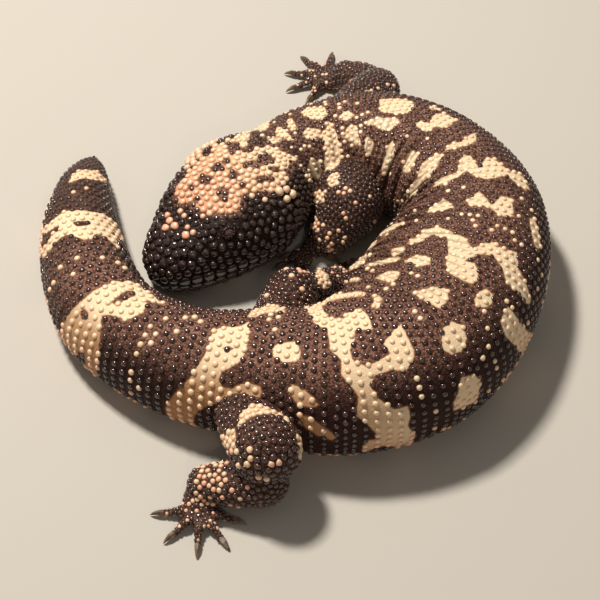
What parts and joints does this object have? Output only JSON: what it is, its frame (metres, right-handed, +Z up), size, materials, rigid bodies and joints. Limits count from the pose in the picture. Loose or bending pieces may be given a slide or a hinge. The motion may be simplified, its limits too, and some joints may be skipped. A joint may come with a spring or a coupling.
{
  "type": "gila monster",
  "caption": "Life-size gila monster curled round to its left, chin, belly and tail on the floor, skin set with rows of bead scales.",
  "frame": {"origin": "on the floor, below the middle of the box round the whole animal", "axes": "+Z up from the floor; the tail runs down the -X side with its tip towards +Y, the body passes along the -Y side and up the +X side, and the head comes back along the +Y side to face -X and -Y"},
  "size_m": [0.1912, 0.2406, 0.0493],
  "materials": {
    "body_scales": "dark brown granular skin set with glossy near-black beads, with cream bands and blotches of cream beads",
    "tail_scales": "dark brown and cream bands of rounded bead scales, satin",
    "head_scales": "peach and pink bead scales on the crown, glossy black plates on the snout and the sides of the face",
    "jaw_scales": "glossy black plates",
    "leg_scales": "near-black bead scales with rows of cream and orange beads",
    "claw": "brown horn, dull, paler at the root",
    "eye": "wet dark brown, nearly black"
  },
  "bodies": {
    "root": {"belly_front": "body_scales", "belly_rear": "body_scales", "chest": "body_scales", "eye_left": "eye", "eye_right": "eye", "fore_left_claw_1": "claw", "fore_left_claw_2": "claw", "fore_left_claw_3": "claw", "fore_left_claw_4": "claw", "fore_left_claw_5": "claw", "fore_left_foot": "leg_scales", "fore_left_lower": "leg_scales", "fore_left_upper": "leg_scales", "fore_right_claw_1": "claw", "fore_right_claw_2": "claw", "fore_right_claw_3": "claw", "fore_right_claw_4": "claw", "fore_right_claw_5": "claw", "fore_right_foot": "leg_scales", "fore_right_lower": "leg_scales", "fore_right_upper": "leg_scales", "head": "head_scales", "hind_left_claw_1": "claw", "hind_left_claw_2": "claw", "hind_left_claw_3": "claw", "hind_left_claw_4": "claw", "hind_left_claw_5": "claw", "hind_left_foot": "leg_scales", "hind_left_lower": "leg_scales", "hind_left_upper": "leg_scales", "hind_right_claw_1": "claw", "hind_right_claw_2": "claw", "hind_right_claw_3": "claw", "hind_right_claw_4": "claw", "hind_right_claw_5": "claw", "hind_right_foot": "leg_scales", "hind_right_lower": "leg_scales", "hind_right_upper": "leg_scales", "hips": "body_scales", "lower_jaw": "jaw_scales", "neck": "body_scales", "shoulders": "body_scales", "tail_base": "tail_scales", "tail_middle": "tail_scales", "tail_tip": "tail_scales"}
  },
  "joints": []
}
